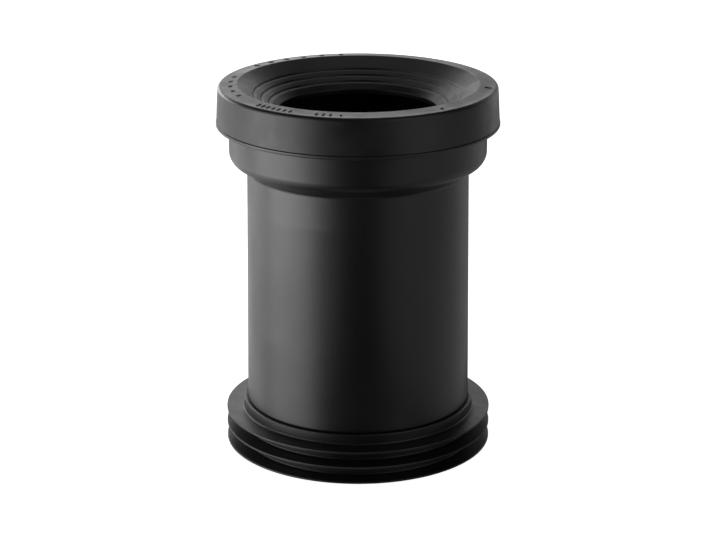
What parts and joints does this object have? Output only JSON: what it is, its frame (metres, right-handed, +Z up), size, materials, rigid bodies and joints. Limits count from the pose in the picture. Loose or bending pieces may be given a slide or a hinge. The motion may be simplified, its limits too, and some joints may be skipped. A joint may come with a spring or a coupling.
{
  "type": "toilet pan connector",
  "caption": "Straight pipe that joins a toilet's outlet to the drain: a socket with a grooved rubber lip seal above, a plain tube, and a finned rubber seal on the spigot below.",
  "frame": {"origin": "on the pipe's axis, at the spigot's end, where the part stands", "axes": "+Z up along the pipe's axis, from the spigot to the pan seal; the part is round, so +X and +Y are free"},
  "size_m": [0.1402, 0.1402, 0.1855],
  "materials": {
    "pipe": "satin moulded polypropylene, black",
    "cap_rubber": "satin moulded rubber, black",
    "fin_rubber": "matt moulded rubber, black"
  },
  "bodies": {
    "root": {"connector_body": "pipe", "pan_seal": "cap_rubber", "finned_seal": "fin_rubber"}
  },
  "joints": []
}
